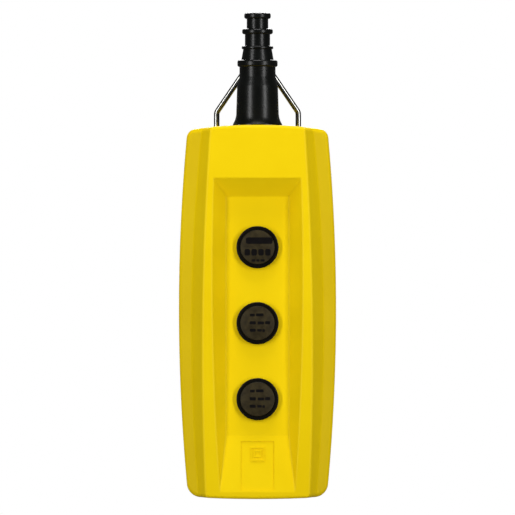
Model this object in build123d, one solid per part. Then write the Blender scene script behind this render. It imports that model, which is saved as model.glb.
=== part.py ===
"""Pendant control station: two-part plastic housing, three push-buttons, stepped cable sleeve and wire bail.

Frame: +Z up the hanging cable, -Y towards the operator, +X to the right as the operator sees it.
The model is built with z = 0 at the bottom of the housing and the cable axis on x = y = 0. On export it is
moved down so that the origin lies on the cable axis at the mouth of the sleeve, where the cable holds it up.
"""
from build123d import *
import math
import os

# ---------------------------------------------------------------- housing, driving sizes (mm)
body_height = 266.0
widest_half = 56.0          # half width where the sides bulge most
widest_z = 142.0
top_half = 50.0             # half width at the top corners
bottom_half = 49.5          # half width at the bottom corners
top_crown = 3.4             # how far the top edge bows up in the middle
bottom_crown = 1.6          # how far the bottom edge bows down in the middle
top_corner = 7.0
bottom_corner = 10.0
wall = 3.0

# depths along Y, from the cable axis
rear_y = 36.0               # flat back of the housing
parting_y = -22.0           # plane where cover and housing meet
side_height = 5.1           # cover's side walls, in front of the parting plane
shoulder_depth = 16.0       # the sloping shoulders run on into the raised platform, up to this depth
shoulder_angle = 60.0       # slope of the shoulders, degrees from the straight-back direction
floor_depth = 14.0          # button floor, in front of the parting plane
crest_depth = 26.0          # rims beside the buttons, in front of the parting plane
rear_edge_round = 6.0
edge_round = 3.5            # between the shoulders and the side walls

# side view of the cover: where it bows furthest forward, and how far the crest falls back at the ends
bow_z = 162.0
crest_fall_top = 3.5
crest_fall_bottom = 7.5

# raised platform of the cover, whose edges are the rims
rim_top_half = 31.8
rim_mid_half = 39.0
rim_bottom_half = 33.5
flank_angle = 26.0          # slope of the rims' outer flanks, degrees
flank_round = 3.0
crest_round = 2.2

# pocket that holds the buttons
floor_half = 22.6
pocket_side_ratio = 0.80    # how much wider the pocket gets per millimetre of depth
hood_z = body_height - 51.0 # top of the pocket's floor
hood_rise = 15.0            # height of the sloping face under the hood
chin_z = 45.0               # below this the floor ramps forward
chin_slope = 0.128
pocket_round = 1.6

# shallow blank panel on the chin, with a plain double square
panel_half = 11.8
panel_top_z = 41.0
panel_bottom_z = 6.0
panel_depth = 0.6
square_side = 10.0
square_line = 0.9
square_margin = 4.0         # from the panel's top edge to the square

# seal between the halves
rim_land = 6.0              # width of the land around the parting plane
land_depth = 3.0
seal_inset = 1.8
seal_width = 2.4
seal_depth = 1.6

# cover screws, driven from the back
screw_places = [
    (top_half - 7.0, body_height - 30.0),
    (widest_half - 9.0, widest_z),
    (bottom_half - 8.0, 22.0),
]
post_radius = 7.0
cover_post_radius = 5.5
screw_radius = 2.0
screw_clearance = 0.25
head_radius = 3.8
head_height = 3.0
well_radius = 4.7
head_seat_y = 10.0
washer_thickness = 1.0
insert_radius = 3.2
insert_length = 7.0
thread_gap = 0.03

# push-buttons
button_pitch = 54.0
button_z = [body_height - 87.0 - i * button_pitch for i in range(3)]
bezel_radius = 15.0
bezel_height = 2.6
gasket_thickness = 0.8
hole_radius = 14.2
barrel_radius = 14.0
barrel_end_depth = 3.0      # barrel's inner end, behind the parting plane
cap_radius = 12.4
cap_gap = 0.2
cap_thickness = 2.6
cap_proud = 0.9             # cap's face in front of the bezel's face
legend_radius = 12.1
legend_thickness = 0.9
legend_proud = 0.1
stem_radius = 5.0
stem_gap = 0.05
seal_ring_thickness = 2.0
seal_ring_radius = 7.0
nut_radius = 18.0
nut_thickness = 4.0
nut_notches = 6
collar_grip = 6.0           # how far the collar reaches along the barrel
spring_wire = 1.0
spring_turns = 3.5

return_coil_radius = 7.5
guide_depth = 10.0          # from the button floor back to the web that guides the stem

# contact blocks
block_half_x = 18.0
block_half_z = 13.0
block_wall = 2.0
block_depth = 33.0
collar_thickness = 3.0
collar_radius = 17.0
plunger_half_x = 3.5
plunger_half_z = 6.5
slide_gap = 0.2
plunger_length = 21.0
bridge_thickness = 1.5
bridge_half_x = 13.0
bridge_half_z = 3.0
contact_gap = 4.9           # from the bridge to the terminals; the tips take up 0.8 of it
terminal_thickness = 1.5
terminal_inner_x = 9.0
terminal_reach = 7.0        # how far a terminal stands out of the block
terminal_half_z = 4.0
terminal_screw_radius = 2.0
terminal_screw_x = 21.6
tip_x = 11.0
tip_radius = 1.6
tip_height = 0.4
clip_half = 5.0
contact_play = 0.05         # between the stem and the plunger
contact_coil_radius = 3.0
contact_wire = 0.8
contact_turns = 4.0

# stepped cable sleeve: heights are above the top of the housing
sleeve_height = 80.8
sleeve_steps = [            # ring: upper height, lower height, radius, edge rounding; neck: two radii
    (80.8, 76.6, 9.5, 1.5, 7.7, 7.7),
    (69.4, 65.6, 11.0, 1.4, 9.0, 9.0),
    (57.0, 54.9, 11.3, 0.8, 10.2, 11.6),
    (47.0, 42.2, 14.4, 1.4, 12.9, 12.9),
]
sleeve_shoulder = 35.2      # below the last neck the sleeve widens to its body
sleeve_body_top = 28.7
sleeve_body = 15.2
sleeve_flare = 10.0         # where the body starts to flare out to its base
sleeve_base = 17.6
sleeve_lip = 1.0            # straight edge under the flare
sleeve_seat_gap = 0.2       # under the flared base
sleeve_waist = 15.3         # where it passes through the top wall
sleeve_hole_gap = 0.1
sleeve_flange = 18.6
flange_thickness = 3.0
flange_gap = 0.1            # below the top wall's inner side
mouth_radius = 6.0          # bore of the top step, which grips the cable
mouth_length = 10.0
bore_radius = 12.4          # inside the body
bore_top = 26.0             # where the bore starts to narrow towards the mouth

# clamps inside the top
plate_thickness = 2.5
ear_depth = 4.4             # depth of the screw holes above the plate
ear_x = 23.6
ear_radius = 4.6
small_screw_radius = 1.5
saddle_z = body_height - 28.0
saddle_half_x = 20.0
saddle_half_z = 6.0
saddle_depth = 9.0
saddle_gap = 1.0
clamp_radius = 7.0
saddle_screw_x = 13.5
saddle_screw_depth = 11.0   # depth of their holes behind the cable's axis

# wire bail
wire_radius = 2.0
bail_half = 29.3
bail_pivot_y = 17.0
bail_pivot_drop = 15.0      # pivot below the top of the housing
bail_knee = 10.0            # bend above the top of the housing
bail_rise = 38.6            # middle of the top wire above the top of the housing
bail_top_half = 9.9
bail_bend = 5.0
pin_bend = 2.6              # bend between a leg and its pin
bail_lean = 2.0             # degrees that it leans forward, onto the sleeve
bail_pin = 5.6              # from the leg's middle to the pin's end
pin_gap = 0.1
socket_gap = 0.6
socket_room = 3.0           # inside each leg, so that the legs can be squeezed in
socket_wall = 3.0

# blank rating label on the back
label_half_x = 26.0
label_half_z = 15.0
label_z = 105.0
label_thickness = 0.6

# ---------------------------------------------------------------- derived places
shoulder_y = parting_y - shoulder_depth
floor_y = parting_y - floor_depth
crest_y = parting_y - crest_depth
bezel_face_y = floor_y - gasket_thickness - bezel_height
cap_face_y = bezel_face_y - cap_proud
barrel_end_y = parting_y + barrel_end_depth
stem_end_y = barrel_end_y + collar_thickness
block_front_y = stem_end_y
block_rear_y = block_front_y + block_depth
plunger_rear_y = stem_end_y + plunger_length
bridge_y = stem_end_y + 13.0
fixed_y = bridge_y + bridge_thickness + contact_gap
head_screw_length = head_seat_y - parting_y + insert_length - 1.0
guide_y = floor_y + guide_depth
plunger_corner = math.hypot(plunger_half_x, plunger_half_z)
flange_top_z = body_height - wall - top_crown * (sleeve_flange / top_half) ** 2 - flange_gap
plate_top_z = flange_top_z - flange_thickness
sleeve_top = body_height + sleeve_height
saddle_heights = (saddle_z - saddle_half_z, saddle_z + saddle_half_z)
bail_pivot_z = body_height - bail_pivot_drop
bail_knee_z = body_height + bail_knee
bail_top_z = body_height + bail_rise
socket_inner = bail_half - wire_radius - socket_room
socket_outer = bail_half + wire_radius + socket_gap
socket_front = bail_pivot_y - 3.0
socket_back = bail_pivot_y + 10.2
pin_hole_end = bail_half + bail_pin + 0.3
far = 200.0                 # longer than anything that is cut
clear = 10.0                # how far a cutting shape runs past the front
over = 1.0


# ---------------------------------------------------------------- shared shapes
def front_plane(y):
    """The upright plane at depth y, with +X to the right, +Z up and its normal towards the operator."""
    return Plane(origin=(0, y, 0), x_dir=(1, 0, 0), z_dir=(0, -1, 0))


def side_plane(x=0.0):
    """The plane across X, with +Y to the right and +Z up."""
    return Plane(origin=(x, 0, 0), x_dir=(0, 1, 0), z_dir=(1, 0, 0))


def between(face, depth):
    """A face on a front plane, made solid for that depth towards the back."""
    return extrude(face, amount=-depth)


def box(x_range, y_range, z_range):
    """A box from its three ranges."""
    size = [b - a for a, b in (x_range, y_range, z_range)]
    middle = [(a + b) / 2 for a, b in (x_range, y_range, z_range)]
    return Pos(*middle) * Box(*size)


def rod(x, z, y_front, y_back, radius):
    """A round rod along Y."""
    return Pos(x, (y_front + y_back) / 2, z) * Rot(90, 0, 0) * Cylinder(radius, abs(y_back - y_front))


def tube(x, z, y_front, y_back, outer, inner):
    """A round tube along Y."""
    return rod(x, z, y_front, y_back, outer) - rod(x, z, y_front - 1, y_back + 1, inner)


def bowed(top, middle, bottom, low, high, crown_low, crown_high):
    """A face with bulging sides and crowned ends, drawn on the XY plane."""
    edges = [
        ThreePointArc((-bottom, low + crown_low), (0, low), (bottom, low + crown_low)),
        ThreePointArc((bottom, low + crown_low), (middle, widest_z), (top, high - crown_high)),
        ThreePointArc((top, high - crown_high), (0, high), (-top, high - crown_high)),
        ThreePointArc((-top, high - crown_high), (-middle, widest_z), (-bottom, low + crown_low)),
    ]
    return make_face(edges)


def outline(inset, y):
    """The housing's outline on the front plane at y, moved in by inset."""
    face = bowed(top_half - inset, widest_half - inset, bottom_half - inset, inset, body_height - inset,
                 bottom_crown, top_crown)
    corners = face.vertices().sort_by(Axis.Y)
    face = fillet(corners[:2], max(bottom_corner - inset, 1.0))
    corners = face.vertices().sort_by(Axis.Y)
    face = fillet(corners[-2:], max(top_corner - inset, 1.0))
    return front_plane(y) * face


def ring(outer_inset, inner_inset, y_front, y_back):
    """A frame that follows the outline, between two insets."""
    depth = y_back - y_front
    return between(outline(outer_inset, y_front), depth) - between(outline(inner_inset, y_front), depth)


def behind(front, fall_top, fall_bottom, inset):
    """Everything behind a front surface that bows forward in the middle and falls back at the ends."""
    front_y = front + inset
    low = -2 * over
    high = body_height + 2 * over
    bow = ThreePointArc((front_y + fall_bottom, low), (front_y, bow_z), (front_y + fall_top, high))
    rest = Polyline((front_y + fall_top, high), (far, high), (far, low), (front_y + fall_bottom, low))
    return extrude(side_plane() * make_face([bow, rest]), amount=far, both=True)


def pocket(grow):
    """The tapered pocket that holds the buttons, its walls moved out by grow."""
    front = crest_y - 20
    deep = floor_y + grow
    side = grow * math.sqrt(1 + pocket_side_ratio**2)
    wide = floor_half + side + pocket_side_ratio * (floor_y - front)
    narrow = floor_half + side - pocket_side_ratio * grow
    plan = Polyline((-wide, front), (wide, front), (narrow, deep), (-narrow, deep), close=True)
    rise = hood_rise / (floor_y - crest_y)
    hood_side = grow * math.sqrt(1 + rise**2)
    hood_low = hood_z + hood_side - rise * grow
    hood_high = hood_z + hood_side + rise * (floor_y - front)
    chin_low = chin_z - (floor_y - front) / chin_slope
    chin_high = chin_z
    profile = Polyline((front, chin_low), (front, hood_high), (deep, hood_low), (deep, chin_high), close=True)
    across = extrude(make_face(plan), amount=body_height + far)
    across = Pos(0, 0, -far / 2) * across
    along = extrude(side_plane() * make_face(profile), amount=far, both=True)
    return across & along


def tapered_face(y, tip_y, halves, angle, inset):
    """An outline at depth y that is as wide as halves at tip_y and gets wider towards the back."""
    spread = (y - tip_y) * math.tan(math.radians(angle)) - inset / math.cos(math.radians(angle))
    top, middle, bottom = [half + spread for half in halves]
    return front_plane(y) * bowed(top, middle, bottom, -over, body_height + over, over / 2, over / 2)


def rim_face(y, inset):
    """The platform's outline at depth y, a little longer than the housing."""
    return tapered_face(y, crest_y, (rim_top_half, rim_mid_half, rim_bottom_half), flank_angle, inset)


def shoulder_face(y, inset):
    """The sloping shoulders' outline at depth y."""
    halves = (top_half, widest_half, bottom_half)
    return tapered_face(y, parting_y - side_height, halves, shoulder_angle, inset)


# ---------------------------------------------------------------- front cover
def cover_form(inset):
    """The cover's form before the pocket is cut, moved in by inset, with sharp edges."""
    full = between(outline(inset, crest_y - clear), crest_depth + clear)
    low = full & loft([shoulder_face(parting_y + clear, inset), shoulder_face(shoulder_y, inset)], ruled=True)
    raised = loft([rim_face(parting_y + clear, inset), rim_face(crest_y - clear, inset)], ruled=True)
    high = (behind(crest_y, crest_fall_top, crest_fall_bottom, inset) & full) & raised
    return low + high


def long_edges(shape, test):
    """The edges that run most of the way up the shape and whose middle passes the test."""
    return [e for e in shape.edges() if e.bounding_box().size.Z > 0.7 * body_height and test(e.center())]


def pocket_edges(shape, test):
    """The pocket's edges whose bounding box passes the test."""
    boxes = [(e, e.bounding_box()) for e in shape.edges()]
    high = hood_z + hood_rise + over
    return [e for e, b in boxes if max(-b.min.X, b.max.X) < rim_bottom_half and b.max.Z < high and test(b)]


def on_chin(shape):
    """A shape drawn on the XY plane, laid on the chin's slope, with its origin at the slope's top."""
    return Plane(origin=(0, floor_y, chin_z), x_dir=(1, 0, 0), z_dir=(0, -1, chin_slope)) * shape


def square_frame(side):
    """A plain square frame as deep as the chin's panel."""
    middle = panel_top_z - chin_z - square_margin - square_side / 2
    face = Rectangle(side, side) - Rectangle(side - 2 * square_line, side - 2 * square_line)
    return on_chin(Pos(0, middle) * extrude(face, amount=-panel_depth))


def front_cover():
    """Cover with hood, rims, button floor and chin, hollow behind, with posts for the screw inserts."""
    side = widest_half - 6
    crest = crest_y + 6
    form = cover_form(0)
    form = fillet(long_edges(form, lambda c: crest < c.Y < parting_y - 1 and abs(c.X) < side), flank_round)
    form = fillet(long_edges(form, lambda c: c.Y < parting_y - 1 and abs(c.X) > side), edge_round)
    form = fillet(long_edges(form, lambda c: c.Y < crest and abs(c.X) < side), crest_round)
    cover = form - pocket(0)
    cover = fillet(pocket_edges(cover, lambda b: b.max.Y > floor_y - 0.2 and b.size.Z < 175), pocket_round)
    mouth = pocket_edges(cover, lambda b: b.max.Y < crest_y + 8 and b.min.Z > panel_bottom_z)
    cover = fillet(mouth, pocket_round)
    middle = (panel_top_z + panel_bottom_z) / 2 - chin_z
    panel = Pos(0, middle) * Rectangle(2 * panel_half, panel_top_z - panel_bottom_z)
    cover = cover - on_chin(extrude(panel, amount=-panel_depth))
    cover = cover + square_frame(square_side) + square_frame(square_side / 2)
    hollow = cover_form(wall) - pocket(wall)
    hollow = hollow & box((-far, far), (-far, parting_y - land_depth), (-far, body_height + far))
    hollow = hollow + between(outline(rim_land, parting_y - land_depth - over), land_depth + 2 * over)
    for x, z in both_sides(screw_places):
        hollow = hollow - rod(x, z, crest_y, parting_y, cover_post_radius)
    cover = cover - hollow
    for x, z in both_sides(screw_places):
        cover = cover - rod(x, z, parting_y - insert_length, parting_y + over, insert_radius)
    for z in button_z:
        cover = cover - rod(0, z, floor_y - over, floor_y + wall + over, hole_radius)
    return cover


def cover_seal():
    """Rubber cord in the rear housing's groove, closed by the cover."""
    return ring(seal_inset, seal_inset + seal_width, parting_y, parting_y + seal_depth)


# ---------------------------------------------------------------- rear housing
def socket_box(grow):
    """One side's room for the bail's leg to swing, or the block around it."""
    return box((socket_inner - grow, socket_outer + grow), (socket_front - grow, socket_back + grow),
               (bail_pivot_z - wire_radius - socket_gap - grow, body_height - wall / 2 if grow else far + body_height))


def rear_housing():
    """Deep rear half: walls, screw posts, sleeve hole, clamp posts, bail sockets and the label's recess."""
    depth = rear_y - parting_y
    shell = between(outline(0, parting_y), depth)
    shell = fillet(shell.faces().sort_by(Axis.Y)[-1].edges(), rear_edge_round)
    hollow = between(outline(wall, parting_y + land_depth), depth - land_depth - wall)
    hollow = fillet(hollow.faces().sort_by(Axis.Y)[-1].edges(), rear_edge_round - wall)
    hollow = hollow + between(outline(rim_land, parting_y - over), land_depth + 2 * over)
    for x, z in both_sides(screw_places):
        hollow = hollow - rod(x, z, parting_y, rear_y, post_radius)
    for side in (-1, 1):
        hollow = hollow - mirror_x(socket_box(socket_wall), side)
        hollow = hollow - Pos(side * ear_x, 0, plate_top_z + body_height / 2) * Cylinder(ear_radius, body_height)
    hollow = hollow - box((-saddle_half_x, saddle_half_x), (saddle_gap / 2, rear_y), saddle_heights)
    shell = shell - hollow
    for x, z in both_sides(screw_places):
        shell = shell - rod(x, z, head_seat_y, rear_y + over, well_radius)
        shell = shell - rod(x, z, parting_y - over, rear_y, screw_radius + screw_clearance)
    for side in (-1, 1):
        shell = shell - mirror_x(socket_box(0), side)
        pin_hole = Pos((socket_outer + pin_hole_end) / 2, bail_pivot_y, bail_pivot_z)
        pin_hole = pin_hole * Rot(0, 90, 0) * Cylinder(wire_radius + pin_gap, pin_hole_end - socket_outer + 0.2)
        shell = shell - mirror_x(pin_hole, side)
        blind = Pos(side * ear_x, 0, plate_top_z + ear_depth / 2) * Cylinder(small_screw_radius + thread_gap, ear_depth)
        shell = shell - blind
        shell = shell - rod(side * saddle_screw_x, saddle_z, 0, saddle_screw_depth, small_screw_radius + thread_gap)
    shell = shell - Pos(0, 0, body_height) * Cylinder(sleeve_waist + sleeve_hole_gap, 4 * wall)
    shell = shell - Pos(0, 0, saddle_z) * Cylinder(clamp_radius, 4 * saddle_half_z)
    shell = shell - cover_seal()
    label = (label_z - label_half_z, label_z + label_half_z)
    return shell - box((-label_half_x, label_half_x), (rear_y - label_thickness, rear_y + over), label)


def both_sides(places):
    """Each place and its mirror image."""
    return [(side * x, z) for x, z in places for side in (-1, 1)]


def mirror_x(shape, side):
    """The shape itself, or mirrored to the other side."""
    return shape if side > 0 else mirror(shape, about=Plane.YZ)


# ---------------------------------------------------------------- screws
def screw(shank, length, head, height, slot):
    """A screw along Z with its head's underside at z = 0, its shank below and a plain cross in its head."""
    body = Pos(0, 0, height / 2) * Cylinder(head, height) + Pos(0, 0, -length / 2) * Cylinder(shank, length)
    body = chamfer(body.edges().sort_by(Axis.Z)[-1], height / 6)
    cross = Box(2 * slot, 0.25 * head, height) + Box(0.25 * head, 2 * slot, height)
    return body - Pos(0, 0, height) * cross


def cover_screws():
    """Six long screws from the back that pull the cover on."""
    one = screw(screw_radius, head_screw_length, head_radius, head_height, 0.6 * head_radius)
    back = head_seat_y + washer_thickness
    return [Pos(x, back, z) * Rot(-90, 0, 0) * one for x, z in both_sides(screw_places)]


def screw_washers():
    """A sealing washer under each cover screw's head."""
    inner = screw_radius + thread_gap
    return [tube(x, z, head_seat_y, head_seat_y + washer_thickness, head_radius, inner)
            for x, z in both_sides(screw_places)]


def cover_inserts():
    """Threaded inserts in the cover's posts."""
    return [tube(x, z, parting_y - insert_length, parting_y, insert_radius, screw_radius + thread_gap)
            for x, z in both_sides(screw_places)]


# ---------------------------------------------------------------- cable sleeve and clamps
def cable_sleeve():
    """Moulded rubber sleeve: stepped rings above, a flared base on the housing, a flange inside it."""
    outer = []
    for high, low, radius, _, neck_top, neck_bottom in sleeve_steps:
        below = [step[0] for step in sleeve_steps if step[0] < low] + [sleeve_shoulder]
        outer += [(radius, high), (radius, low), (neck_top, low), (neck_bottom, below[0])]
    outer += [(sleeve_body - 0.6, sleeve_body_top), (sleeve_body, sleeve_flare)]
    outer = [(radius, body_height + height) for radius, height in outer]
    seat = body_height + sleeve_seat_gap
    flare_end = (sleeve_base, seat + sleeve_lip)
    middle = (sleeve_body + 0.2 * (sleeve_base - sleeve_body), (outer[-1][1] + flare_end[1]) / 2)
    flare = ThreePointArc(outer[-1], middle, flare_end)
    inner = [flare_end, (sleeve_base, seat), (sleeve_waist, seat), (sleeve_waist, flange_top_z),
             (sleeve_flange, flange_top_z), (sleeve_flange, plate_top_z), (bore_radius, plate_top_z),
             (bore_radius, body_height + bore_top), (mouth_radius, sleeve_top - mouth_length),
             (mouth_radius, sleeve_top), outer[0]]
    half = make_face([*Polyline(*outer).edges(), flare, *Polyline(*inner).edges()])
    sleeve = revolve(Plane.XZ * half, Axis.Z)
    for high, low, radius, edge, _, _ in sleeve_steps:
        rims = [e for e in sleeve.edges().filter_by(GeomType.CIRCLE)
                if abs(e.radius - radius) < 0.01 and low - 0.01 < e.center().Z - body_height < high + 0.01]
        sleeve = fillet(rims, edge)
    return sleeve


def sleeve_clamp_plate():
    """Plate that holds the sleeve's flange up against the top wall."""
    plate = Cylinder(sleeve_flange, plate_thickness) + Box(2 * ear_x, 2 * ear_radius, plate_thickness)
    for side in (-1, 1):
        plate = plate + Pos(side * ear_x, 0) * Cylinder(ear_radius, plate_thickness)
    plate = plate - Cylinder(clamp_radius + over, 2 * plate_thickness)
    for side in (-1, 1):
        plate = plate - Pos(side * ear_x, 0) * Cylinder(small_screw_radius + screw_clearance, 2 * plate_thickness)
    return Pos(0, 0, plate_top_z - plate_thickness / 2) * plate


def plate_screws():
    """Two screws that hold the clamp plate, driven from below."""
    one = screw(small_screw_radius, plate_thickness + ear_depth - 0.6, 2.8, 2.0, 1.7)
    return [Pos(side * ear_x, 0, plate_top_z - plate_thickness) * Rot(180, 0, 0) * one for side in (-1, 1)]


def cable_saddle():
    """Saddle that clamps the cable against the pedestal inside the housing."""
    saddle = box((-saddle_half_x, saddle_half_x), (-saddle_depth, -saddle_gap / 2), saddle_heights)
    saddle = fillet(saddle.edges().filter_by(Axis.Z).sort_by(Axis.Y)[:2], 2)
    saddle = saddle - Pos(0, 0, saddle_z) * Cylinder(clamp_radius, 4 * saddle_half_z)
    for side in (-1, 1):
        saddle = saddle - rod(side * saddle_screw_x, saddle_z, -far, 0, small_screw_radius + screw_clearance)
    return saddle


def saddle_screws():
    """Two screws through the saddle into the pedestal."""
    one = screw(small_screw_radius, saddle_depth + saddle_screw_depth - 1, 2.8, 2.0, 1.7)
    return [Pos(side * saddle_screw_x, -saddle_depth, saddle_z) * Rot(90, 0, 0) * one for side in (-1, 1)]


# ---------------------------------------------------------------- bail and label
def suspension_bail():
    """Bent wire bail whose two ends turn outwards into the housing's sockets; it leans on the sleeve."""
    pin_end = bail_half + bail_pin
    points = [(pin_end, bail_pivot_z), (bail_half, bail_pivot_z), (bail_half, bail_knee_z),
              (bail_top_half, bail_top_z)]
    points += [(-x, z) for x, z in reversed(points)]
    radii = [pin_bend, bail_bend, bail_bend, bail_bend, bail_bend, pin_bend]
    path = FilletPolyline(*[(x, 0, z) for x, z in points], radius=radii)
    start = Plane(origin=(pin_end, 0, bail_pivot_z), z_dir=(-1, 0, 0))
    wire = sweep(start * Circle(wire_radius), path=path)
    lean = Pos(0, bail_pivot_y, bail_pivot_z) * Rot(bail_lean, 0, 0) * Pos(0, 0, -bail_pivot_z)
    return lean * wire


def rating_label():
    """Blank plate set flush in the back."""
    depth = (rear_y - label_thickness, rear_y)
    return box((-label_half_x, label_half_x), depth, (label_z - label_half_z, label_z + label_half_z))


# ---------------------------------------------------------------- one push-button, centred on z = 0
def bezel():
    """Black ring and barrel: bore for the cap, web that guides its stem, recess for the stem's seal."""
    front = bezel_face_y
    body = rod(0, 0, front, front + bezel_height, bezel_radius)
    body = fillet(body.edges().sort_by(Axis.Y)[0], 0.7)
    body = body + rod(0, 0, front + over, barrel_end_y, barrel_radius)
    body = body - rod(0, 0, front - over, guide_y, cap_radius + cap_gap)
    body = body - rod(0, 0, guide_y - over, barrel_end_y + over, stem_radius + stem_gap)
    return body - rod(0, 0, barrel_end_y - seal_ring_thickness, barrel_end_y + over, seal_ring_radius)


def cap():
    """Cap that is pressed, with a shallow recess for its legend disc and the stem behind it."""
    head = rod(0, 0, cap_face_y, cap_face_y + cap_thickness, cap_radius)
    head = fillet(head.edges().sort_by(Axis.Y)[0], 0.5)
    head = head - rod(0, 0, cap_face_y - over, cap_face_y + legend_thickness - legend_proud, legend_radius)
    return head + rod(0, 0, cap_face_y + cap_thickness - 0.5, stem_end_y - contact_play, stem_radius)


def legend():
    """Printed disc set in the cap's face."""
    return rod(0, 0, cap_face_y - legend_proud, cap_face_y + legend_thickness - legend_proud, legend_radius)


def gasket():
    """Rubber washer between the bezel and the cover."""
    return tube(0, 0, floor_y - gasket_thickness, floor_y, bezel_radius - 0.4, barrel_radius + thread_gap)


def nut():
    """Notched ring nut that pulls the bezel down, behind the cover's floor."""
    back = floor_y + wall
    body = tube(0, 0, back, back + nut_thickness, nut_radius, barrel_radius + thread_gap)
    for i in range(nut_notches):
        turn = Rot(0, 360 / nut_notches * i, 0)
        notch = box((nut_radius - 2.0, nut_radius + over), (back - over, back + nut_thickness + over), (-2.5, 2.5))
        body = body - turn * notch
    return body


def stem_seal():
    """Rubber ring around the stem, in the barrel's end."""
    return tube(0, 0, barrel_end_y - seal_ring_thickness, barrel_end_y, seal_ring_radius, stem_radius + stem_gap)


def coil(y_front, y_back, mean_radius, wire, turns):
    """An open coil spring along Y with its ends just inside the two depths."""
    height = y_back - y_front - wire - 0.3
    path = Helix(pitch=height / turns, height=height, radius=mean_radius)
    body = sweep(Plane(origin=path @ 0, z_dir=path % 0) * Circle(wire / 2), path=path, is_frenet=True)
    return Pos(0, y_back - wire / 2 - 0.15, 0) * Rot(90, 0, 0) * body


def return_spring():
    """Coil around the stem that pushes the cap back out."""
    return coil(cap_face_y + cap_thickness, guide_y, return_coil_radius, spring_wire, spring_turns)


def mounting_collar():
    """Cup on the barrel's end that carries the contact block."""
    cup = rod(0, 0, barrel_end_y - collar_grip, stem_end_y, collar_radius)
    cup = cup - rod(0, 0, barrel_end_y - collar_grip - over, barrel_end_y, barrel_radius + thread_gap)
    return cup - rod(0, 0, barrel_end_y - over, stem_end_y + over, stem_radius + over)


def contact_block():
    """Box around the contacts, with two clips over the collar, guides for the plunger and slots for the terminals."""
    x, z, thick = block_half_x, block_half_z, block_wall
    body = box((-x, x), (block_front_y, block_rear_y), (-z, z))
    body = fillet(body.edges().filter_by(Axis.Y), 1.5)
    body = body - box((thick - x, x - thick), (block_front_y + thick, block_rear_y - thick), (thick - z, z - thick))
    body = body - rod(0, 0, block_front_y - over, block_front_y + thick + over, plunger_corner + 2 * slide_gap)
    guide = plunger_half_z + slide_gap
    for side in (-1, 1):
        ledges = sorted((side * guide, side * (z - over)))
        body = body + box((-plunger_half_x, plunger_half_x), (block_front_y + over, block_rear_y - over), ledges)
        inner, outer = collar_radius + thread_gap, collar_radius + thick
        arm = box((-clip_half, clip_half), (barrel_end_y - collar_grip - thick, block_front_y + thick), (inner, outer))
        hook = box((-clip_half, clip_half), (barrel_end_y - collar_grip - thick, barrel_end_y - collar_grip),
                   (inner - thick, outer))
        foot = box((-clip_half, clip_half), (block_front_y, block_front_y + thick), (z - over, outer))
        clip = arm + hook + foot
        body = body + (clip if side > 0 else mirror(clip, about=Plane.XY))
    body = body - rod(0, 0, block_front_y - over, block_front_y + thick + over, plunger_corner + 2 * slide_gap)
    for side in (-1, 1):
        slot = sorted((side * (x - thick - over), side * (x + over)))
        body = body - box(slot, (fixed_y, fixed_y + terminal_thickness), (-terminal_half_z, terminal_half_z))
    return body


def contact_plunger():
    """Insulating plunger that carries the bridge contact."""
    body = box((-plunger_half_x, plunger_half_x), (stem_end_y, plunger_rear_y), (-plunger_half_z, plunger_half_z))
    body = chamfer(body.edges().filter_by(Axis.Y), 0.8)
    return body - box((-far, far), (bridge_y, bridge_y + bridge_thickness), (-bridge_half_z, bridge_half_z))


def bridge_contact():
    """Bridge through the plunger with a silver tip at each end."""
    bar = box((-bridge_half_x, bridge_half_x), (bridge_y, bridge_y + bridge_thickness),
              (-bridge_half_z, bridge_half_z))
    bar = fillet(bar.edges().filter_by(Axis.Y), 1.0)
    for side in (-1, 1):
        bar = bar + rod(side * tip_x, 0, bridge_y + over, bridge_y + bridge_thickness + tip_height, tip_radius)
    return bar


def fixed_contacts():
    """Two terminals with silver tips, through the block's sides."""
    out = []
    for side in (-1, 1):
        reach = sorted((side * terminal_inner_x, side * (block_half_x + terminal_reach)))
        strip = box(reach, (fixed_y, fixed_y + terminal_thickness), (-terminal_half_z, terminal_half_z))
        strip = strip + rod(side * tip_x, 0, fixed_y - tip_height, fixed_y + over, tip_radius)
        out.append(strip - rod(side * terminal_screw_x, 0, fixed_y - over, fixed_y + 2 * terminal_thickness,
                               terminal_screw_radius + thread_gap))
    return out


def terminal_screws():
    """A clamping screw in each terminal."""
    one = screw(terminal_screw_radius, terminal_thickness + 3, 3.2, 2.0, 1.9)
    back = fixed_y + terminal_thickness
    return [Pos(side * terminal_screw_x, back, 0) * Rot(-90, 0, 0) * one for side in (-1, 1)]


def contact_spring():
    """Coil that pushes the plunger back towards the button."""
    return coil(plunger_rear_y, block_rear_y - block_wall, contact_coil_radius, contact_wire, contact_turns)


# ---------------------------------------------------------------- export
shared = {
    "rear_housing": rear_housing,
    "front_cover": front_cover,
    "cover_seal": cover_seal,
    "cover_screws": cover_screws,
    "screw_washers": screw_washers,
    "cover_inserts": cover_inserts,
    "cable_sleeve": cable_sleeve,
    "sleeve_clamp_plate": sleeve_clamp_plate,
    "plate_screws": plate_screws,
    "cable_saddle": cable_saddle,
    "saddle_screws": saddle_screws,
    "suspension_bail": suspension_bail,
    "rating_label": rating_label,
}
per_button = {
    "button_cap": cap,
    "button_legend": legend,
    "button_bezel": bezel,
    "bezel_gasket": gasket,
    "bezel_nut": nut,
    "stem_seal": stem_seal,
    "return_spring": return_spring,
    "mounting_collar": mounting_collar,
    "contact_block": contact_block,
    "contact_plunger": contact_plunger,
    "bridge_contact": bridge_contact,
    "fixed_contacts": fixed_contacts,
    "terminal_screws": terminal_screws,
    "contact_spring": contact_spring,
}


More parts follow.
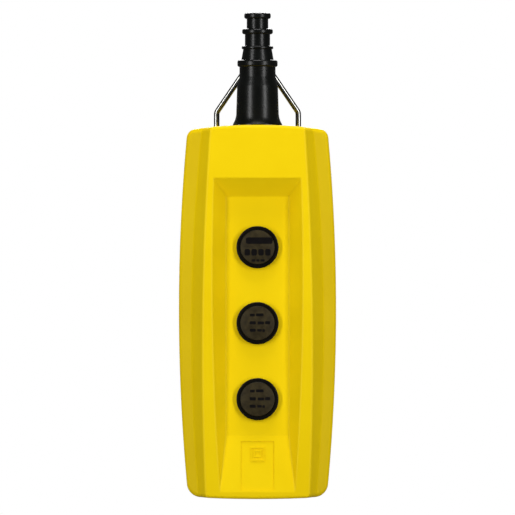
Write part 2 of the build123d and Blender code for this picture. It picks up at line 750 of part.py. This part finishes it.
def save(name, shape, z):
    """Moves a shape to its height and the origin to the sleeve's mouth, and writes it."""
    solids = shape if isinstance(shape, list) else [shape]
    solids = [solid for one in solids for solid in one.solids()]
    placed = [Pos(0, 0, z - sleeve_top) * solid for solid in solids]
    export_step(placed[0] if len(placed) == 1 else Compound(children=placed), os.path.join("parts", name + ".step"))


if __name__ == "__main__":
    os.makedirs("parts", exist_ok=True)
    for name, make in shared.items():
        save(name, make(), 0)
    for name, make in per_button.items():
        shape = make()
        for i, z in enumerate(button_z):
            save(f"{name}_{i + 1}", shape, z)
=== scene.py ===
import math

import bmesh
import bpy
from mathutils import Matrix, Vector


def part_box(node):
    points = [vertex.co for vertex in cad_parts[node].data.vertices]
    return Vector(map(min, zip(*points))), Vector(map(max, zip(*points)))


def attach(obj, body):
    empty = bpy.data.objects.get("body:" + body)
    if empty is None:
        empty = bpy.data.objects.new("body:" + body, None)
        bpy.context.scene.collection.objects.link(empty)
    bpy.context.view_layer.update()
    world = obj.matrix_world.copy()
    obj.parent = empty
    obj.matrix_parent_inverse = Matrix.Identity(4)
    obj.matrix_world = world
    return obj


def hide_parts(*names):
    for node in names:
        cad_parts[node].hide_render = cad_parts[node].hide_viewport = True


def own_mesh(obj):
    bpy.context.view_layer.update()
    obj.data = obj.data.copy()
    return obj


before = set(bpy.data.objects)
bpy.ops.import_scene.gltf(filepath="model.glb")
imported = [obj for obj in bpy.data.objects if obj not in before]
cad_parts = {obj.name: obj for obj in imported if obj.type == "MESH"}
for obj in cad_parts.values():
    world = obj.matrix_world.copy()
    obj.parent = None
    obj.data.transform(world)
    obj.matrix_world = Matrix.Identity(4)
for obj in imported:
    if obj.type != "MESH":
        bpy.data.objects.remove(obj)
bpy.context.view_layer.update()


# Studio floor: the station hangs well above a round floor of pale painted board.
# The board is faced flat, with a low turned-up rim, and looks paler to the camera than it lights.
floor_height = -4.0
floor_radius = 14.0
rim_height = 0.03
rim_width = 0.1
hub_radius = 0.4
seam_radius = 1.5
floor_sides = 96

floor_mesh = bmesh.new()
floor_profile = [(hub_radius, 0.0), (seam_radius, 0.0), (floor_radius - rim_width, 0.0),
                 (floor_radius, rim_height)]
floor_rings = []
for radius, rise in floor_profile:
    ring = []
    for k in range(floor_sides):
        turn = 2 * math.pi * k / floor_sides
        ring.append(floor_mesh.verts.new((radius * math.cos(turn), radius * math.sin(turn),
                                          floor_height + rise)))
    floor_rings.append(ring)
floor_mesh.faces.new(floor_rings[0])
for inner, outer in zip(floor_rings, floor_rings[1:]):
    for k in range(floor_sides):
        after = (k + 1) % floor_sides
        floor_mesh.faces.new((inner[k], outer[k], outer[after], inner[after]))
floor_data = bpy.data.meshes.new("floor")
floor_mesh.to_mesh(floor_data)
floor_mesh.free()
floor = bpy.data.objects.new("floor", floor_data)
bpy.context.scene.collection.objects.link(floor)


def new_material(name):
    """An empty node material with its shader, and a function that adds a node to it."""
    material = bpy.data.materials.new(name)
    material.use_nodes = True
    tree = material.node_tree

    def add(kind, **inputs):
        node = tree.nodes.new(kind)
        for key, value in inputs.items():
            node.inputs[key.replace("_", " ")].default_value = value
        return node

    return material, tree.nodes["Principled BSDF"], add, tree.links.new


board, board_shader, add, link = new_material("painted_board")
board_shader.inputs["Base Color"].default_value = (0.86, 0.86, 0.85, 1)
board_shader.inputs["Roughness"].default_value = 0.85
board_shader.inputs["Specular IOR Level"].default_value = 0.2
board_shader.inputs["Emission Color"].default_value = (1, 1, 1, 1)
board_seen = add("ShaderNodeLightPath")
paleness = add("ShaderNodeMapRange", To_Max=0.7)
link(board_seen.outputs["Is Camera Ray"], paleness.inputs["Value"])
link(paleness.outputs["Result"], board_shader.inputs["Emission Strength"])
floor_data.materials.append(board)


# Lights: two tall soft boxes, left and right of the camera, light the front and draw the upright
# highlights on everything round.
# A small box overhead picks out the top edges, and one high behind opens up the back.
station_middle = Vector((0, 0, -0.17))


def soft_box(name, place, size, power):
    """An area light of that width and height at the place, aimed at the middle of the station."""
    light = bpy.data.lights.new(name, "AREA")
    light.shape = "RECTANGLE"
    light.size, light.size_y = size
    light.energy = power
    lamp = bpy.data.objects.new(name, light)
    lamp.location = place
    lamp.rotation_euler = (station_middle - Vector(place)).to_track_quat("-Z", "Y").to_euler()
    bpy.context.scene.collection.objects.link(lamp)


soft_box("left_box", (-1.05, -1.15, 0.0), (0.30, 1.5), 14.7)
soft_box("right_box", (1.05, -1.15, 0.0), (0.30, 1.5), 14.7)
soft_box("top_box", (0.0, -0.35, 1.1), (0.7, 0.4), 10)
soft_box("back_box", (0.0, 1.7, 1.0), (0.9, 0.8), 34)

# The room beyond is plain white to look at and gives only a little light of its own.
world = bpy.data.worlds.new("room")
world.use_nodes = True
room = world.node_tree
room.nodes["Background"].inputs["Color"].default_value = (1, 1, 1, 1)
room_seen = room.nodes.new("ShaderNodeLightPath")
room_light = room.nodes.new("ShaderNodeMapRange")
room_light.inputs["To Min"].default_value = 0.08
room_light.inputs["To Max"].default_value = 1.0
room.links.new(room_seen.outputs["Is Camera Ray"], room_light.inputs["Value"])
room.links.new(room_light.outputs["Result"], room.nodes["Background"].inputs["Strength"])
bpy.context.scene.world = world
bpy.context.scene.view_settings.view_transform = "Standard"

# Camera: straight in front, level with the middle of the station, through a long lens.
camera_distance = 5.0
focus_plane = -0.025
view_width = 0.367
view_middle = -0.1751
sensor_width = 36
camera_data = bpy.data.cameras.new("camera")
camera_data.sensor_width = sensor_width
camera_data.lens = sensor_width * camera_distance / view_width
camera = bpy.data.objects.new("camera", camera_data)
camera.location = (0, focus_plane - camera_distance, view_middle)
camera.rotation_euler = (math.pi / 2, 0, 0)
bpy.context.scene.collection.objects.link(camera)
bpy.context.scene.camera = camera


# Housing: deep rear half and hooded front cover, both moulded in safety-yellow plastic and screwed
# together from the back.
# The mould leaves a fine spark texture; handling has made it a little duller in patches.
def paint(material, *names):
    """Gives that finish to these CAD nodes."""
    for name in names:
        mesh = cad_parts[name].data
        mesh.materials.clear()
        mesh.materials.append(material)


yellow, shader, add, link = new_material("yellow_plastic")
place = add("ShaderNodeTexCoord")
patches = add("ShaderNodeTexNoise", Scale=22.0, Detail=3.0, Roughness=0.55)
link(place.outputs["Object"], patches.inputs["Vector"])
tint = add("ShaderNodeValToRGB")
tint.color_ramp.elements[0].position = 0.25
tint.color_ramp.elements[0].color = (0.86, 0.60, 0.002, 1)
tint.color_ramp.elements[1].position = 0.8
tint.color_ramp.elements[1].color = (0.91, 0.655, 0.003, 1)
link(patches.outputs["Fac"], tint.inputs["Fac"])

# The two halves meet in a fine joint line. A thin band either side of it is painted dark, as painted shade
# in the gap between the parts.
joint_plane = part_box("rear_housing")[0].y
shade_band_half_width = 0.00045
parts_of_place = add("ShaderNodeSeparateXYZ")
link(place.outputs["Object"], parts_of_place.inputs["Vector"])
from_joint = add("ShaderNodeMath")
from_joint.operation = "SUBTRACT"
from_joint.inputs[1].default_value = joint_plane
link(parts_of_place.outputs["Y"], from_joint.inputs[0])
joint_distance = add("ShaderNodeMath")
joint_distance.operation = "ABSOLUTE"
link(from_joint.outputs["Value"], joint_distance.inputs[0])
joint_shade_band = add("ShaderNodeMapRange", From_Max=shade_band_half_width, To_Min=1.0, To_Max=0.0)
link(joint_distance.outputs["Value"], joint_shade_band.inputs["Value"])
# Painted shade: within the joint band the yellow is mixed towards a dark brown-yellow.
joint_shaded = add("ShaderNodeMix")
joint_shaded.data_type = "RGBA"
unshaded_colour, painted_shade_colour = [socket for socket in joint_shaded.inputs if socket.type == "RGBA"]
painted_shade_colour.default_value = (0.10, 0.062, 0.004, 1)
link(joint_shade_band.outputs["Result"], joint_shaded.inputs["Factor"])
link(tint.outputs["Color"], unshaded_colour)
link(next(socket for socket in joint_shaded.outputs if socket.type == "RGBA"), shader.inputs["Base Color"])

# Sheen and the mould's spark texture.
gloss = add("ShaderNodeMapRange", To_Min=0.36, To_Max=0.48)
link(patches.outputs["Fac"], gloss.inputs["Value"])
link(gloss.outputs["Result"], shader.inputs["Roughness"])
spark = add("ShaderNodeTexNoise", Scale=2200.0, Detail=2.0)
link(place.outputs["Object"], spark.inputs["Vector"])
bump = add("ShaderNodeBump", Strength=0.12, Distance=0.0002)
link(spark.outputs["Fac"], bump.inputs["Height"])
link(bump.outputs["Normal"], shader.inputs["Normal"])
shader.inputs["Specular IOR Level"].default_value = 0.08
paint(yellow, "rear_housing", "front_cover")


# Buttons: ring and barrel in one, cap and ring nut, all moulded in satin black plastic.
# The nut clamps the ring and its gasket to the cover. Fingers wipe the caps, so their sheen wanders.
buttons = (1, 2, 3)


def mottled(name, dark, light, scale, rough, bump_height, metal=0.0):
    """A finish whose colour and sheen wander between two values, with a fine grain."""
    material, shader, add, link = new_material(name)
    place = add("ShaderNodeTexCoord")
    clouds = add("ShaderNodeTexNoise", Scale=scale, Detail=4.0, Roughness=0.6)
    link(place.outputs["Object"], clouds.inputs["Vector"])
    blend = add("ShaderNodeValToRGB")
    blend.color_ramp.elements[0].position = 0.3
    blend.color_ramp.elements[0].color = (*dark, 1)
    blend.color_ramp.elements[1].position = 0.75
    blend.color_ramp.elements[1].color = (*light, 1)
    link(clouds.outputs["Fac"], blend.inputs["Fac"])
    link(blend.outputs["Color"], shader.inputs["Base Color"])
    sheen = add("ShaderNodeMapRange", To_Min=rough[0], To_Max=rough[1])
    link(clouds.outputs["Fac"], sheen.inputs["Value"])
    link(sheen.outputs["Result"], shader.inputs["Roughness"])
    grain = add("ShaderNodeTexNoise", Scale=60 * scale, Detail=2.0)
    link(place.outputs["Object"], grain.inputs["Vector"])
    relief = add("ShaderNodeBump", Strength=0.3, Distance=bump_height)
    link(grain.outputs["Fac"], relief.inputs["Height"])
    link(relief.outputs["Normal"], shader.inputs["Normal"])
    shader.inputs["Metallic"].default_value = metal
    return material, shader


black, black_shader = mottled("black_plastic", (0.0022, 0.0018, 0.0010), (0.0045, 0.0036, 0.0022), 90,
                              (0.3, 0.42), 0.00006)
black_shader.inputs["Specular IOR Level"].default_value = 0.15
for i in buttons:
    paint(black, f"button_bezel_{i}", f"button_cap_{i}", f"bezel_nut_{i}")


# Legends: thin discs of olive brown film set in the caps, printed darker with plain bars and dashes.
# The top disc has a long bar, a row of four bars and a foot row; the others have three short lines.
# A mark is (across, up, width, height), in millimetres from the middle.
legend_edge = 0.0003
legend_shoulder = 0.3 * legend_edge
disc_sides = 128
print_height = 0.00004
corner_share = 0.3
corner_steps = 4
crease_angle = math.radians(35)
long_bar = [(1.2, 4.7, 19.0, 4.6)]
block_row = [(-7.3, -3.6, 3.8, 4.6), (-2.4, -3.6, 3.8, 4.6), (2.5, -3.6, 3.8, 4.6), (7.4, -3.6, 3.8, 4.6)]
foot_row = [(-2.9, -9.4, 2.6, 1.6), (0.3, -9.4, 2.2, 1.6), (3.6, -9.4, 3.0, 1.6)]
short_lines = [(-3.6, 5.8, 3.4, 1.9), (1.6, 6.0, 5.4, 2.0), (-3.4, 0.3, 4.4, 2.2), (2.4, 0.2, 4.6, 2.0),
               (7.2, 0.4, 3.6, 2.2), (-3.4, -5.0, 4.2, 2.2), (1.4, -5.0, 3.2, 1.8), (4.4, -5.2, 1.8, 1.8)]
legend_marks = {1: long_bar + block_row + foot_row, 2: short_lines, 3: short_lines}

olive, olive_shader = mottled("legend_film", (0.017, 0.012, 0.004), (0.044, 0.033, 0.012), 220,
                              (0.4, 0.6), 0.00005)
olive_shader.inputs["Specular IOR Level"].default_value = 0.15
ink, ink_shader = mottled("legend_ink", (0.0015, 0.0010, 0.0012), (0.0040, 0.0028, 0.0030), 300,
                          (0.45, 0.6), 0.00003)
ink_shader.inputs["Specular IOR Level"].default_value = 0.1


def new_piece(name, bm, material, body):
    """Makes the mesh a smooth-shaded piece of that body, in that finish."""
    bmesh.ops.recalc_face_normals(bm, faces=bm.faces)
    mesh = bpy.data.meshes.new(name)
    bm.to_mesh(mesh)
    bm.free()
    mesh.shade_smooth()
    mesh.set_sharp_from_angle(angle=crease_angle)
    mesh.materials.append(material)
    piece = bpy.data.objects.new(name, mesh)
    bpy.context.scene.collection.objects.link(piece)
    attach(piece, body)
    return piece


def turned(bm, points, middle):
    """Turns a profile of (radius, depth) about the line along Y through the middle."""
    rings = []
    for radius, depth in points:
        ring = []
        for k in range(disc_sides):
            angle = 2 * math.pi * k / disc_sides
            across, up = radius * math.cos(angle), radius * math.sin(angle)
            ring.append(bm.verts.new(middle + Vector((across, depth, up))))
        rings.append(ring)
    for one, two in zip(rings, rings[1:]):
        for k in range(disc_sides):
            after = (k + 1) % disc_sides
            bm.faces.new((one[k], one[after], two[after], two[k]))
    return rings


def print_mark(bm, x, y, z, width, height):
    """One printed mark: a rounded bar a hair thick, with its back at y."""
    corner = corner_share * min(width, height)
    outline = []
    for quarter, (sx, sz) in enumerate(((1, 1), (-1, 1), (-1, -1), (1, -1))):
        for k in range(corner_steps + 1):
            turn = math.pi / 2 * (quarter + k / corner_steps)
            outline.append((x + sx * (width / 2 - corner) + corner * math.cos(turn),
                            z + sz * (height / 2 - corner) + corner * math.sin(turn)))
    back = [bm.verts.new((px, y, pz)) for px, pz in outline]
    front = [bm.verts.new((px, y - print_height, pz)) for px, pz in outline]
    bm.faces.new(front)
    bm.faces.new(back)
    for k in range(len(outline)):
        after = (k + 1) % len(outline)
        bm.faces.new((back[k], back[after], front[after], front[k]))


for i in buttons:
    low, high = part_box(f"button_legend_{i}")
    middle = (low + high) / 2
    radius = (high.x - low.x) / 2
    bm = bmesh.new()
    face, back = low.y - middle.y, high.y - middle.y
    profile = [(radius, back), (radius, face + legend_edge),
               (radius - legend_shoulder, face + legend_shoulder), (radius - legend_edge, face)]
    rings = turned(bm, profile, middle)
    bm.faces.new(rings[0])
    bm.faces.new(rings[-1])
    disc = new_piece(f"legend_disc_{i}", bm, olive, f"button_{i}")
    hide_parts(f"button_legend_{i}")
    bm = bmesh.new()
    for x, z, width, height in legend_marks[i]:
        print_mark(bm, middle.x + x / 1000, low.y, middle.z + z / 1000, width / 1000, height / 1000)
    new_piece(f"legend_print_{i}", bm, ink, f"button_{i}")


# Cable sleeve: one moulding of black rubber, stepped so that its top can be cut back to suit the cable.
# It has a close sheen and a fine grain, and a plate inside holds its flange up against the top wall.
rubber, rubber_shader = mottled("sleeve_rubber", (0.0014, 0.0019, 0.0015), (0.0036, 0.0042, 0.0036), 60,
                                (0.24, 0.31), 0.00008)
rubber_shader.inputs["Specular IOR Level"].default_value = 0.27
paint(rubber, "cable_sleeve")

# Bail: one length of bright zinc-plated wire, bent cold.
# Its two ends turn outwards into sockets in the housing, and it rests against the sleeve.
wire, _ = mottled("zinc_wire", (0.30, 0.30, 0.285), (0.42, 0.42, 0.40), 120, (0.10, 0.16), 0.00001,
                  metal=1.0)
paint(wire, "suspension_bail")

# Screws and clamp plate: zinc-plated steel, duller than the wire.
# Six long screws pull the cover on from the back; small ones hold the plate, the saddle and the leads.
zinc, _ = mottled("zinc_screw", (0.36, 0.36, 0.34), (0.55, 0.54, 0.50), 150, (0.3, 0.45), 0.00005, metal=1.0)
paint(zinc, "cover_screws", "plate_screws", "saddle_screws", "sleeve_clamp_plate",
      *(f"terminal_screws_{i}" for i in buttons))

# Contacts and inserts: brass, left bare and slightly tarnished.
# The inserts are set in the cover's posts. The fixed contacts sit in slots in each block, and the
# bridge runs through the plunger.
brass, _ = mottled("brass", (0.60, 0.38, 0.12), (0.78, 0.55, 0.22), 140, (0.25, 0.4), 0.00003, metal=1.0)
paint(brass, "cover_inserts",
      *(f"{name}_{i}" for name in ("fixed_contacts", "bridge_contact") for i in buttons))

# Springs: one coil under each cap and one behind each plunger, wound from bright drawn steel wire.
# Each end is closed flat against its seat.
# A kind is given by its joint, its wire's thickness and its turns.
closed_turns = 0.75
wire_sides = 12
steps_per_turn = 40
spring_kinds = {"return_spring": ("press", 0.001, 4.5), "contact_spring": ("contact", 0.0008, 5.0)}

spring_steel, _ = mottled("spring_steel", (0.42, 0.42, 0.42), (0.6, 0.6, 0.6), 300, (0.2, 0.3),
                          0.00002, metal=1.0)


def wound(bm, middle, front, back, coil_radius, wire_thick, turns):
    """A round wire wound along Y between two depths, with flat closed ends."""
    count = int(turns * steps_per_turn)
    rings = []
    for k in range(count + 1):
        turned_so_far = turns * k / count
        rise = min(max((turned_so_far - closed_turns) / (turns - 2 * closed_turns), 0.0), 1.0)
        depth = front + wire_thick / 2 + (back - front - wire_thick) * rise
        angle = 2 * math.pi * turned_so_far
        outward = Vector((math.cos(angle), 0, math.sin(angle)))
        centre = Vector((middle.x, depth, middle.z)) + coil_radius * outward
        ring = []
        for side in range(wire_sides):
            turn = 2 * math.pi * side / wire_sides
            ring.append(bm.verts.new(centre + wire_thick / 2 * (math.cos(turn) * outward
                                                                + math.sin(turn) * Vector((0, 1, 0)))))
        rings.append(ring)
    for one, two in zip(rings, rings[1:]):
        for side in range(wire_sides):
            after = (side + 1) % wire_sides
            bm.faces.new((one[side], one[after], two[after], two[side]))
    bm.faces.new(rings[0])
    bm.faces.new(rings[-1])


for kind, (joint, wire_thick, turns) in spring_kinds.items():
    for i in buttons:
        low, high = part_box(f"{kind}_{i}")
        bm = bmesh.new()
        wound(bm, (low + high) / 2, low.y, high.y, (high.x - low.x - wire_thick) / 2, wire_thick, turns)
        coil = new_piece(f"{kind}_coil_{i}", bm, spring_steel, "enclosure")
        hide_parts(f"{kind}_{i}")
        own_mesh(coil)

# Contact blocks, plungers, collars and the cable saddle: light grey moulded plastic.
# Each collar caps its barrel's end, and its block clips over the collar. Two screws hold the saddle.
grey, _ = mottled("grey_plastic", (0.22, 0.23, 0.22), (0.30, 0.31, 0.30), 80, (0.4, 0.55), 0.0001)
paint(grey, "cable_saddle",
      *(f"{name}_{i}" for name in ("contact_block", "contact_plunger", "mounting_collar") for i in buttons))

# Seals, gaskets and washers: soft black rubber, moulded to shape.
# Each is trapped between the two pieces that it seals, and is not glued.
seal, _ = mottled("seal_rubber", (0.012, 0.012, 0.012), (0.022, 0.022, 0.021), 100, (0.6, 0.8), 0.0001)
paint(seal, "cover_seal", "screw_washers",
      *(f"{name}_{i}" for name in ("bezel_gasket", "stem_seal") for i in buttons))

# Rating label: a foil plate stuck in its own shallow recess in the back, rubbed brighter by handling.
# It is printed with a plain frame and rows of plain bars, given like the legends' marks but with
# across running left to right as seen from behind.
label_rows = [(-10.0, 7.5, 22.0, 2.2), (16.0, 7.5, 8.0, 2.2), (-12.0, 2.5, 18.0, 1.2),
              (10.0, 2.5, 20.0, 1.2), (-8.0, -1.5, 26.0, 1.2), (16.0, -1.5, 8.0, 1.2),
              (-13.0, -5.5, 16.0, 1.2), (8.0, -5.5, 14.0, 1.2)]
frame_line = 0.0004
frame_inset = 0.0016

foil, _ = mottled("label_foil", (0.52, 0.53, 0.53), (0.66, 0.66, 0.65), 70, (0.28, 0.42), 0.00003, metal=0.6)
paint(foil, "rating_label")
low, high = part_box("rating_label")
middle = (low + high) / 2
half_x, half_z = (high.x - low.x) / 2 - frame_inset, (high.z - low.z) / 2 - frame_inset
bm = bmesh.new()
for x, z, width, height in label_rows:
    print_mark(bm, middle.x - x / 1000, high.y + print_height, middle.z + z / 1000,
               width / 1000, height / 1000)
for side in (-1, 1):
    print_mark(bm, middle.x + side * half_x, high.y + print_height, middle.z, frame_line, 2 * half_z)
    print_mark(bm, middle.x, high.y + print_height, middle.z + side * half_z,
               2 * half_x - 2 * frame_line, frame_line)
new_piece("label_print", bm, ink, "enclosure")
